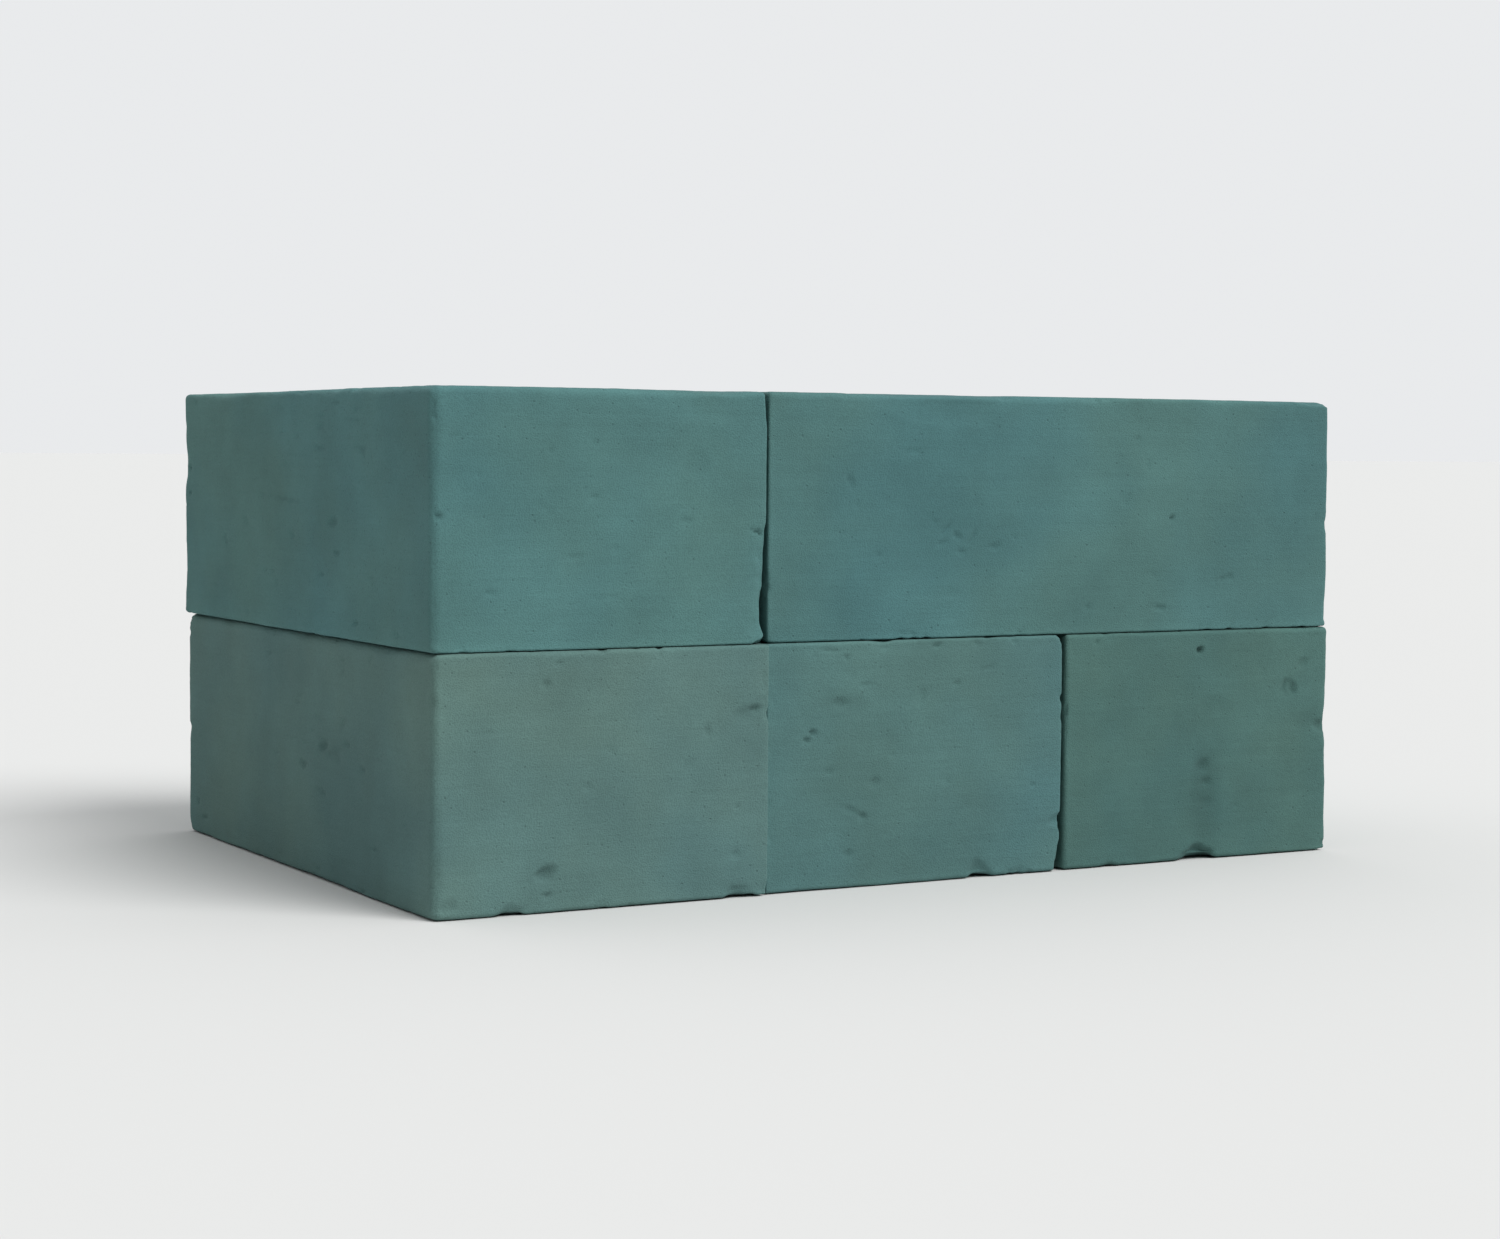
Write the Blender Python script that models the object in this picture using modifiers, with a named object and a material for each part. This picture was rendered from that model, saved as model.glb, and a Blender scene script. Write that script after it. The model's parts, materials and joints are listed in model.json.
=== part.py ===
"""A stack of five loose floral foam bricks, laid by hand as a florist's supplier shows them.

Three bricks lie side by side with their ends to the front. One more lies end to the front on
the left one, and the last lies lengthwise along the front on the other two. Each brick is one
solid block of rigid foam, and nothing but its weight holds it.

Units are metres and +Z is up. The origin is on the ground, in the middle of the stack's
footprint. +X runs along the front from left to right, and the front faces -Y.
"""

import math
from collections import namedtuple

import bmesh
import bpy
from mathutils import Vector

# The brick, as it is cut.
BRICK_LENGTH = 0.230
BRICK_WIDTH = 0.115
BRICK_HEIGHT = 0.080
EDGE_ROUNDING = 0.0020  # radius that handling leaves on every edge
ROUNDING_SEGMENTS = 2

# How the bricks lie against each other.
TIGHT_JOINT = 0.0005  # lower left and lower middle brick, pushed together
LOWER_JOINT = 0.0014  # lower middle and lower right brick
UPPER_JOINT = 0.0012  # the two upper bricks
LAYER_GAP = 0.0004  # between an upper brick and what carries it
OVERHANG = 0.0012  # how far the upper left brick stands out past the lower left one

# How far each brick is turned about its own upright middle line.
LOWER_RIGHT_YAW = math.radians(-0.15)
UPPER_LEFT_YAW = math.radians(0.25)
UPPER_RIGHT_YAW = math.radians(-0.12)

# How far each brick's front stands back from the front of the lower left brick.
LOWER_MIDDLE_SETBACK = 0.0018
LOWER_RIGHT_SETBACK = 0.0022
UPPER_LEFT_SETBACK = 0.0008
UPPER_RIGHT_SETBACK = 0.0028

CHIP_CUTTER_SIZE = 6.0  # side of the block that cuts a chip, in longest legs of the chip

# Foam colour (linear RGB), one shade for each brick, and its surface.
FOAM_SHADES = {
    "lower_left_brick": (0.112, 0.216, 0.196),
    "lower_middle_brick": (0.100, 0.215, 0.198),
    "lower_right_brick": (0.098, 0.205, 0.186),
    "upper_left_brick": (0.106, 0.214, 0.200),
    "upper_right_brick": (0.094, 0.211, 0.198),
}
FOAM_ROUGHNESS = 0.95
FOAM_METALLIC = 0.0

# A chip is one flat break across a corner. The corner is a sign for each axis of the brick as it
# lies, and each leg is how far along that axis the break reaches from the square corner.
Chip = namedtuple("Chip", "name brick corner legs")
CHIPS = (
    Chip("upper_left_corner_chip", "upper_left_brick", (1, -1, -1), (0.0050, 0.0050, 0.0040)),
    Chip("upper_left_edge_chip", "upper_left_brick", (1, -1, -1), (0.0022, 0.0060, 0.0420)),
    Chip("upper_right_end_chip", "upper_right_brick", (1, -1, 1), (0.0260, 0.0070, 0.0026)),
    Chip("lower_middle_top_chip", "lower_middle_brick", (1, -1, 1), (0.0045, 0.0050, 0.0045)),
    Chip("lower_middle_foot_chip", "lower_middle_brick", (1, -1, -1), (0.0024, 0.0060, 0.0240)),
    Chip("lower_right_rear_chip", "lower_right_brick", (1, 1, 1), (0.0080, 0.0110, 0.0060)),
)

Brick = namedtuple("Brick", "name size_x size_y yaw left front bottom")


def reach(size_x, size_y, yaw):
    """How far a turned rectangle reaches in X and in Y."""
    cos, sin = abs(math.cos(yaw)), abs(math.sin(yaw))
    return size_x * cos + size_y * sin, size_x * sin + size_y * cos


def right_of(brick, joint):
    """Where the next brick starts, one joint past this one."""
    return brick.left + reach(brick.size_x, brick.size_y, brick.yaw)[0] + joint


def lay_bricks():
    """The five bricks from left to right in each layer, each placed against the one before it.

    Left and front are measured from the lower left brick's near corner.
    """
    width, length = BRICK_WIDTH, BRICK_LENGTH
    upper = BRICK_HEIGHT + LAYER_GAP
    lower_left = Brick("lower_left_brick", width, length, 0.0, 0.0, 0.0, 0.0)
    lower_middle = Brick(
        "lower_middle_brick", width, length, 0.0,
        right_of(lower_left, TIGHT_JOINT), LOWER_MIDDLE_SETBACK, 0.0,
    )
    lower_right = Brick(
        "lower_right_brick", width, length, LOWER_RIGHT_YAW,
        right_of(lower_middle, LOWER_JOINT), LOWER_RIGHT_SETBACK, 0.0,
    )
    upper_left = Brick(
        "upper_left_brick", width, length, UPPER_LEFT_YAW,
        -OVERHANG, UPPER_LEFT_SETBACK, upper,
    )
    upper_right = Brick(
        "upper_right_brick", length, width, UPPER_RIGHT_YAW,
        right_of(upper_left, UPPER_JOINT), UPPER_RIGHT_SETBACK, upper,
    )
    return [lower_left, lower_middle, lower_right, upper_left, upper_right]


def middle_of(bricks):
    """The middle of the stack's footprint, from the reach of every brick."""
    spans = [reach(brick.size_x, brick.size_y, brick.yaw) for brick in bricks]
    left = min(brick.left for brick in bricks)
    right = max(brick.left + span[0] for brick, span in zip(bricks, spans))
    front = min(brick.front for brick in bricks)
    back = max(brick.front + span[1] for brick, span in zip(bricks, spans))
    return Vector(((left + right) / 2, (front + back) / 2, 0))


def new_collection(name):
    collection = bpy.data.collections.new(name)
    bpy.context.scene.collection.children.link(collection)
    return collection


def cube_object(name, size, collection):
    """A box with its middle at its own origin, size being its three sides."""
    mesh = bpy.data.meshes.new(name)
    bm = bmesh.new()
    bmesh.ops.create_cube(bm, size=1.0)
    bmesh.ops.scale(bm, vec=size, verts=bm.verts)
    bm.to_mesh(mesh)
    bm.free()
    obj = bpy.data.objects.new(name, mesh)
    collection.objects.link(obj)
    return obj


def foam(name):
    """Dull, open-celled foam in the shade of the brick of this name."""
    material = bpy.data.materials.new(name + "_foam")
    material.use_nodes = True
    surface = material.node_tree.nodes["Principled BSDF"]
    surface.inputs["Base Color"].default_value = (*FOAM_SHADES[name], 1.0)
    surface.inputs["Roughness"].default_value = FOAM_ROUGHNESS
    surface.inputs["Metallic"].default_value = FOAM_METALLIC
    return material


def build_brick(brick, middle, collection):
    """A block with softened edges, standing where the layout puts it."""
    span_x, span_y = reach(brick.size_x, brick.size_y, brick.yaw)
    obj = cube_object(brick.name, (brick.size_x, brick.size_y, BRICK_HEIGHT), collection)
    corner = Vector((brick.left, brick.front, brick.bottom))
    obj.location = corner + Vector((span_x, span_y, BRICK_HEIGHT)) / 2 - middle
    obj.rotation_euler.z = brick.yaw
    rounding = obj.modifiers.new("edge_rounding", "BEVEL")
    rounding.width = EDGE_ROUNDING
    rounding.segments = ROUNDING_SEGMENTS
    rounding.limit_method = "ANGLE"
    obj.data.materials.append(foam(brick.name))
    return obj


def chip_corner(chip, brick, obj, collection):
    """Cuts a corner off with one face of a block, turned square to the line of the break."""
    half = Vector((brick.size_x, brick.size_y, BRICK_HEIGHT)) / 2
    signs, legs = Vector(chip.corner), Vector(chip.legs)
    normal = Vector([sign / leg for sign, leg in zip(signs, legs)]).normalized()
    depth = legs.x * abs(normal.x)
    side = CHIP_CUTTER_SIZE * max(legs)
    cutter = cube_object(chip.name, (side, side, side), collection)
    cutter.parent = obj
    cutter.location = half * signs + normal * (side / 2 - depth)
    cutter.rotation_mode = "QUATERNION"
    cutter.rotation_quaternion = normal.to_track_quat("Z", "Y")
    cutter.hide_render = True
    cutter.display_type = "WIRE"
    cut = obj.modifiers.new(chip.name, "BOOLEAN")
    cut.operation = "DIFFERENCE"
    cut.object = cutter


def main():
    for old in list(bpy.data.objects):
        bpy.data.objects.remove(old, do_unlink=True)
    parts = new_collection("floral_foam_stack")
    cutters = new_collection("cutters")
    cutters.hide_render = True
    bricks = lay_bricks()
    middle = middle_of(bricks)
    for brick in bricks:
        obj = build_brick(brick, middle, parts)
        for chip in CHIPS:
            if chip.brick == brick.name:
                chip_corner(chip, brick, obj, cutters)


main()
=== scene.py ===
# %% [markdown]
# # Five floral foam bricks
#
# This lesson turns five plain CAD blocks into bricks of floral foam, the green foam that a
# florist soaks and sticks stems into. The blocks are already the right size and in the right
# place. What they lack is everything that makes the eye say "foam": edges rubbed soft, corners
# that have crumbled, thumb marks, faint saw marks, and a surface made of tiny open cells.
#
# The large things, down to about a millimetre, are made as real geometry. The cells are finer
# than that, so they are left to the material.

import json
import math
from collections import namedtuple
from itertools import combinations

import bpy
import numpy as np
from mathutils import Euler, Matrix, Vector


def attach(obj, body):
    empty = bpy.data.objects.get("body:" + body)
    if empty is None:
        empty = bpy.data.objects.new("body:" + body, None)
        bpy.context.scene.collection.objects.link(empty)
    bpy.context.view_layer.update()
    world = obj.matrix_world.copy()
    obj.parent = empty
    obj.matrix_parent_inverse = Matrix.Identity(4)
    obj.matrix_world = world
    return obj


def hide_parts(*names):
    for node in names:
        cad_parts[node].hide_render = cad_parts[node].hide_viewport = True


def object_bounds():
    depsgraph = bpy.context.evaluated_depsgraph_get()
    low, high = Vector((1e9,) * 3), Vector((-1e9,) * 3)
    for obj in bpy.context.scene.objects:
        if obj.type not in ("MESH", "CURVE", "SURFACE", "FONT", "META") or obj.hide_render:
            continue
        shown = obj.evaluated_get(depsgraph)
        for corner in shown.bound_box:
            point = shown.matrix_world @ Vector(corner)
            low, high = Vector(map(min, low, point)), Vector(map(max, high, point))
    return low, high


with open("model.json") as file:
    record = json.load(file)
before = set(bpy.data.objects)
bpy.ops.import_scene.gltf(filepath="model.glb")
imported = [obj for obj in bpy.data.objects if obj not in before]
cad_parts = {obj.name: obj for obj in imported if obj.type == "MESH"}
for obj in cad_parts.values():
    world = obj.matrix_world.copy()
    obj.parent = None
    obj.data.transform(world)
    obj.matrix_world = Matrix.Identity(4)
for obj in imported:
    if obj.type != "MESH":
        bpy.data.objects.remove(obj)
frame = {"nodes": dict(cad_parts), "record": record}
cad_low, cad_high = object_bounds()
print("CAD box, m:", [round(v, 4) for v in (*cad_low, *cad_high)])

# %% [markdown]
# ## Where each brick lies
#
# The bricks were laid by hand, so some are turned by a fraction of a degree. A detailed brick is
# easiest to make square, with its middle at the origin, and then turned and moved into place. So
# the first step is to read back from each CAD block its middle, its turn and its three sides. The
# turn comes from the block's end faces: their area-weighted normal points exactly along the
# brick.

# %% Measure the CAD blocks
MM = 0.001
ALONG_X = 0.99  # a face normal with at least this much x looks along +X
Place = namedtuple("Place", "middle yaw half")


def measure_block(node):
    """The middle, turn and half sides of a CAD block.

    The turn is the angle of the sum of the area vectors of all faces that look along +X. The
    half sides are the reach of the vertices once that turn is taken off.
    """
    mesh = frame["nodes"][node].data
    points = np.empty(len(mesh.vertices) * 3, np.float32)
    mesh.vertices.foreach_get("co", points)
    points = points.reshape(-1, 3).astype(float)
    normals = np.array([face.normal for face in mesh.polygons])
    areas = np.array([face.area for face in mesh.polygons])
    looking = (normals * areas[:, None])[normals[:, 0] > ALONG_X].sum(axis=0)
    yaw = math.atan2(looking[1], looking[0])
    middle = (points.min(axis=0) + points.max(axis=0)) / 2
    half = np.abs(turned(points - middle, -yaw)).max(axis=0)
    return Place(middle, yaw, half)


def turned(points, yaw):
    """Points turned about the upright axis: x cos - y sin, x sin + y cos."""
    cos, sin = math.cos(yaw), math.sin(yaw)
    x, y, z = points.T
    return np.stack([x * cos - y * sin, x * sin + y * cos, z], axis=1)


TRIAL = "upper_left_brick"  # the brick that the cells below try their steps on
places = {node: measure_block(node) for node in sorted(frame["nodes"])}
for node, place in places.items():
    sides = (2 * place.half / MM).round(1)
    print(node, "sides", sides, "mm, turned", round(math.degrees(place.yaw), 2), "degrees")

# %% [markdown]
# ## A skin of small squares
#
# A block of foam is hard to model with a few large faces, because every thumb mark needs points
# to push in. Subdividing a cube would give enough points, but spread evenly, while the edges need
# them far more than the flats. So the skin is laid out instead. Points are placed along each of
# the three directions, close together near both ends. A side of the brick is then a grid of two of
# those directions, and the six grids share the points of their common edges, which keeps the skin
# closed.

# %% Spread points along a side
EDGE_PITCH = 0.45 * MM  # how far apart the points are at an edge
EDGE_REACH = 5 * MM  # how fast the spacing grows away from it
RULER_MARKS = 4001  # places along the line where the spacing is worked out


def spaced(half, pitch):
    """Points from -half to half, close at both ends and `pitch` apart in the middle.

    At a distance d from the nearer end the spacing is pitch - (pitch - EDGE_PITCH) e^(-d/reach).
    Adding up 1/spacing along the line counts the points that are passed, and the points go where
    that count is a whole number.
    """
    line = np.linspace(-half, half, RULER_MARKS)
    from_end = half - np.abs(line)
    spacing = pitch - (pitch - EDGE_PITCH) * np.exp(-from_end / EDGE_REACH)
    passed = np.cumsum(1 / spacing) * (line[1] - line[0])
    passed -= passed[0]
    steps = math.ceil(passed[-1])
    return np.interp(np.linspace(0, passed[-1], steps + 1), passed, line)


print("across a brick:", len(spaced(places[TRIAL].half[0], MM)), "points, at most 1 mm apart")

# %% [markdown]
# ## One skin from six grids
#
# Six separate grids would leave six open sheets with their edges on top of each other. Merging
# them by distance would close the gaps, but it has to search for every pair. It is simpler never
# to make a point twice. All the points of the block's lattice that lie on its outside are numbered
# once, and each side looks its own numbers up.

# %% Join six grids into one skin
def skin(lines):
    """The closed skin of a block, from its points along x, y and z: (points, square faces).

    The block's lattice has a point for each x, y and z. The outer ones are numbered in order.
    On a side, each number and its three neighbours up and along make one face, and the faces of
    a side that would look inwards are turned round.
    """
    outer = np.zeros([len(line) for line in lines], bool)
    for axis in range(3):
        np.moveaxis(outer, axis, 0)[[0, -1]] = True
    number = np.full(outer.shape, -1)
    number[outer] = np.arange(outer.sum())
    sides = []
    for axis in range(3):
        for end in (0, -1):
            grid = np.moveaxis(number, axis, 0)[end]
            rings = np.stack([grid[:-1, :-1], grid[1:, :-1], grid[1:, 1:], grid[:-1, 1:]], axis=-1)
            looks_in = (end == 0) != (axis == 1)
            sides.append(rings.reshape(-1, 4)[:, :: -1 if looks_in else 1])
    lattice = np.stack(np.meshgrid(*lines, indexing="ij"), axis=-1)
    return lattice[outer], np.concatenate(sides)


MOST_SQUARES = 98_000  # in one brick: a square is two triangles
FINEST = np.array([0.78, 1.9, 0.78]) * MM  # finer across and up than front to back
COARSER = 1.01  # how much wider the spacing gets with each try


def brick_skin(half):
    """The finest skin of a brick that keeps to MOST_SQUARES: (points, square faces).

    The first try has the spacing FINEST, and each try after it is COARSER times coarser.
    """
    pitch = FINEST
    while True:
        points, faces = skin([spaced(h, p) for h, p in zip(half, pitch)])
        if len(faces) <= MOST_SQUARES:
            return points, faces
        pitch = pitch * COARSER


print(TRIAL, "has", len(brick_skin(places[TRIAL].half)[1]), "squares")

# %% [markdown]
# ## Smooth random numbers
#
# A brick that has been sawn, packed, carried and stacked has no two edges alike. Modelling each
# bruise by hand would take days, so most of them come from noise: numbers that look random but
# change smoothly from place to place. Blender has such noise of its own, but it is read one point
# at a time. Written with numpy, it works on all the points of a brick at once. The numbers come
# from a seed, which starts the generator at the same place each time. Every brick has seeds of
# its own, so no two bricks wear alike.

# %% Noise in space
SPAN = 64  # random numbers along each side of the block, before it repeats
TILT = np.array(Euler((0.6, 0.4, 0.9)).to_matrix())  # keeps its grid off the brick's own sides
SEEDS_APART = 1000  # from one brick's first seed to the next brick's
RELIEF_SEED, CHIP_SEED, MARK_SEED = 10, 50, 100  # from a brick's first seed to these steps' own


def noise(points, size, seed):
    """Numbers between -1 and 1 that swell and fade over about `size` metres.

    Space is filled with cubes of that size, with a random number at every corner. A point's value
    mixes the eight numbers round it. Along each axis, the near and far numbers count for
    1 - 3t^2 + 2t^3 and 3t^2 - 2t^3, where t runs from 0 to 1 across the cube.
    """
    table = np.random.default_rng(seed).uniform(-1, 1, (SPAN, SPAN, SPAN))
    place = points @ TILT / size
    cube = np.floor(place).astype(int)
    t = place - cube
    t = t * t * (3 - 2 * t)
    value = np.zeros(len(points))
    for corner in np.ndindex(2, 2, 2):
        share = np.where(corner, t, 1 - t).prod(axis=1)
        i, j, k = ((cube + corner) % SPAN).T
        value += share * table[i, j, k]
    return value


def layered(points, size, seed, layers=3):
    """Noise with finer noise on it: each layer is half the size and half the strength."""
    return sum(noise(points, size / 2**n, seed + n) / 2**n for n in range(layers))


seeds = {node: SEEDS_APART * (number + 1) for number, node in enumerate(places)}
sample = noise(brick_skin(places[TRIAL].half)[0], 20 * MM, seeds[TRIAL])
print("noise runs from", round(sample.min(), 2), "to", round(sample.max(), 2))

# %% [markdown]
# ## Six named sides
#
# Every mark has to be said to lie somewhere. "On the front, 10 mm right of the middle and 20 mm
# up" is easy to read, so each side gets a name and three directions: the way it faces, and its
# across and up as somebody standing in front of it would see them.

# %% Name the sides
Side = namedtuple("Side", "facing across up")


def side_of(facing, across):
    """A side from the way it faces and its across. Up is the cross product of the two."""
    facing, across = np.array(facing, float), np.array(across, float)
    return Side(facing, across, np.cross(facing, across))


SIDES = {
    "front": side_of((0, -1, 0), (1, 0, 0)),
    "back": side_of((0, 1, 0), (-1, 0, 0)),
    "left": side_of((-1, 0, 0), (0, -1, 0)),
    "right": side_of((1, 0, 0), (0, 1, 0)),
    "top": side_of((0, 0, 1), (1, 0, 0)),
    "under": side_of((0, 0, -1), (1, 0, 0)),
}
for name, side in SIDES.items():
    print(name, "faces", side.facing.astype(int), "and its up is", side.up.astype(int))

# %% [markdown]
# ## Edges rubbed round
#
# Foam crushes under a fingertip, so its sharp edges are the first thing to go. A Bevel modifier
# rounds every edge by the same amount and leaves it as even as moulded plastic. Here each edge
# has a radius of its own, and noise makes it wander along the edge: nearly sharp where the brick
# lay against its neighbour, and a few millimetres where hands took hold of it.

# %% Round the edges
SOFT_EDGE = 1.7 * MM  # an edge with no radius of its own
LEAST_EDGE = 0.35 * MM
EDGE_BLEND = 2.0 * MM  # how close to a corner its edges start to share a radius
SLOW_WANDER, SLOW_SIZE = 0.45, 34 * MM  # how much a radius varies, and over what length
QUICK_WANDER, QUICK_SIZE = 0.3, 9 * MM

EDGE_RADII = {  # mm, by brick and by the two sides that meet
    "lower_left_brick": {
        "front right": 0.4, "front top": 1.3, "front under": 1.2, "left front": 2.8,
        "right top": 0.5, "left top": 3.0,
    },
    "lower_middle_brick": {
        "left front": 0.4, "front top": 1.2, "front right": 1.2, "front under": 1.2,
        "left top": 0.5, "right top": 1.4,
    },
    "lower_right_brick": {
        "left front": 1.8, "front top": 1.5, "front right": 2.2, "front under": 1.4,
        "left top": 1.8, "right top": 1.8,
    },
    "upper_left_brick": {
        "front right": 0.6, "front top": 2.6, "left front": 3.2, "front under": 0.5,
        "left top": 2.8, "left under": 1.4, "left back": 3.0,
    },
    "upper_right_brick": {
        "left front": 0.7, "front top": 2.2, "front right": 2.2, "front under": 0.5,
        "right top": 2.6, "right under": 0.9,
    },
}


def edge_radii(points, half, brick, seed):
    """The rounding radius at each point.

    A point's distance from an edge is the long side of the triangle made by its distances from
    the two sides that meet there. Each edge's radius counts for 1/(distance^2 + blend^2)^2, so
    the nearest edge decides, except close to a corner. Noise scales the result.
    """
    total, shares = np.zeros(len(points)), np.zeros(len(points))
    own = {frozenset(edge.split()): radius * MM for edge, radius in EDGE_RADII[brick].items()}
    for one, other in combinations(SIDES, 2):
        facings = [SIDES[one].facing, SIDES[other].facing]
        if facings[0] @ facings[1] < 0:
            continue  # opposite sides never meet
        gaps = [half @ abs(facing) - points @ facing for facing in facings]
        share = (gaps[0] ** 2 + gaps[1] ** 2 + EDGE_BLEND**2) ** -2
        total += share * own.get(frozenset((one, other)), SOFT_EDGE)
        shares += share
    wander = SLOW_WANDER * noise(points, SLOW_SIZE, seed)
    wander += QUICK_WANDER * noise(points, QUICK_SIZE, seed + 1)
    return np.maximum(total / shares * (1 + wander), LEAST_EDGE)


def from_edge(points, half):
    """How far each point of the square skin is from the nearest edge.

    Of a point's three distances from the block's planes, the least is 0, because it lies on one.
    The next is its distance from an edge.
    """
    return np.sort(half - np.abs(points), axis=1)[:, 1]


half = places[TRIAL].half
square = brick_skin(half)[0]
radii = edge_radii(square, half, TRIAL, seeds[TRIAL])
at_edges = radii[from_edge(square, half) < MM] / MM
print(TRIAL, "has edges rubbed to", at_edges.min().round(1), "to", at_edges.max().round(1), "mm")

# %% [markdown]
# ## From a sharp block to a soft one
#
# A radius at every point isn't a shape yet. Moving the points inwards near an edge would need a
# different rule for sides, edges and corners. One rule covers all three: a ball of that radius
# rolls round the inside of the sharp block, and the skin that it sweeps is the soft one. Each
# point moves to the ball that comes closest to it.

# %% Move the points onto round edges
def soften(points, half, radii):
    """The points moved onto a block with rounded edges, and the way that each one faces.

    A smaller block lies one radius inside the square one. From the place on it that is nearest to
    the point, the rounded skin is one radius out towards the point.
    """
    inner = half - radii[:, None]
    nearest = np.clip(points, -inner, inner)
    facing = points - nearest
    facing /= np.linalg.norm(facing, axis=1, keepdims=True)
    return nearest + facing * radii[:, None], facing


rounded, outward = soften(square, half, radii)
furthest = np.linalg.norm(rounded - square, axis=1).max() / MM
print("a corner of", TRIAL, "moves in by", furthest.round(1), "mm")

# %% [markdown]
# ## Broken corners
#
# Dry foam is brittle. A corner that is knocked doesn't bend, it comes away, and leaves a rough
# slanting face. The CAD model has the same breaks as flat cuts, so their places and sizes are
# repeated here. A Boolean would make them too, but it would tear up the tidy grid. Pressing every
# point that is outside the break back onto it keeps the grid whole.

# %% Break the corners
Chip = namedtuple("Chip", "brick corner legs")
CHIPS = (  # corner: a sign for x, y and z. legs: how far along each the break reaches, in mm
    Chip("upper_left_brick", (1, -1, -1), (5.0, 5.0, 4.0)),
    Chip("upper_left_brick", (1, -1, -1), (2.2, 6.0, 42.0)),
    Chip("upper_right_brick", (1, -1, 1), (26.0, 7.0, 2.6)),
    Chip("lower_middle_brick", (1, -1, 1), (4.5, 5.0, 4.5)),
    Chip("lower_middle_brick", (1, -1, -1), (2.4, 6.0, 24.0)),
    Chip("lower_right_brick", (1, 1, 1), (8.0, 11.0, 6.0)),
)
BREAK_ROUGHNESS, BREAK_LUMPS = 0.8 * MM, 6 * MM  # how deep the lumps of a break are, and how wide


def break_corner(points, half, chip, seed):
    """The points, with those beyond the chip's plane pressed straight back onto it.

    The plane's normal is (1/x, 1/y, 1/z) of the legs, with the corner's signs, made one long. A
    point is beyond the plane by normal . point, less the same for the end of a leg. Noise moves
    the plane in and out, which makes the break rough.
    """
    signs, legs = np.array(chip.corner, float), np.array(chip.legs) * MM
    normal = signs / legs
    normal /= np.linalg.norm(normal)
    plane = half * signs @ normal - legs[0] * abs(normal[0])
    rough = BREAK_ROUGHNESS * layered(points, BREAK_LUMPS, seed)
    beyond = np.maximum(points @ normal - plane + rough, 0)
    return points - beyond[:, None] * normal


for chip in CHIPS:
    print(chip.brick, "loses its corner", chip.corner, "over", chip.legs, "mm")

# %% [markdown]
# ## Thumb marks, pits and nicks
#
# The marks that give the bricks their character are few enough to place one by one. Each is a
# small bowl. A dent is shallow with soft walls, where a finger pressed. A pit has steep walls,
# where a crumb came away. A nick is either of these, on an edge. A list could give each mark its
# own sculpted shape, but one formula with a ragged outline does for all of them.

# %% Press in a mark
Mark = namedtuple("Mark", "side across up length width depth turn stain", defaults=(0, 0))
RAGGED = 0.5  # how far noise moves a mark's outline, as a share of its size
WALL = 1.15  # higher makes flatter floors and steeper walls
MOST_RAG = 1.5  # as high as two layers of noise can go
LEAST_RAG = 1.5  # mm, the finest noise on an outline
FACES_MARK = 0.3  # a mark leaves skin alone that is turned further away from it than this cosine


def mark_frame(name, half):
    """The facing, across, up and middle of a side, as "front", or of an edge, as "front under".

    An edge faces halfway between its two sides. Its across runs along it, to the right, to the
    back or up.
    """
    names = name.split()
    facing = sum(SIDES[one].facing for one in names)
    middle = half * facing
    if len(names) == 1:
        return SIDES[name].facing, SIDES[name].across, SIDES[name].up, middle
    across = abs(np.cross(*[SIDES[one].facing for one in names]))
    facing = facing / np.linalg.norm(facing)
    return facing, across, np.cross(facing, across), middle


def bowl(points, outward, half, mark, seed):
    """How much of a mark's full depth each point has: 1 on its floor, and 0 outside it.

    Seen along the way the side faces, a point has a place across and up from the mark's middle.
    That is turned with the mark and divided by the mark's half length and half width, so that the
    rim is where r = 1. Noise moves r. The bowl is (1 - r^(2 wall))^2.
    """
    facing, across, up, middle = mark_frame(mark.side, half)
    x = (points - middle) @ across - mark.across * MM
    y = (points - middle) @ up - mark.up * MM
    cos, sin = math.cos(math.radians(mark.turn)), math.sin(math.radians(mark.turn))
    along = (x * cos + y * sin) / (mark.length / 2 * MM)
    over = (y * cos - x * sin) / (mark.width / 2 * MM)
    near = (np.hypot(along, over) < 1 + RAGGED * MOST_RAG) & (outward @ facing > FACES_MARK)
    depth = np.zeros(len(points))
    r = np.hypot(along[near], over[near])
    r += RAGGED * layered(points[near], max(mark.width, LEAST_RAG) * MM, seed, 2)
    depth[near] = np.clip(1 - np.clip(r, 0, None) ** (2 * WALL), 0, None) ** 2
    return depth


for name in ("front", "front under"):
    print("the middle of", name, "is at", (mark_frame(name, half)[3] / MM).round(1), "mm")
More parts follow.
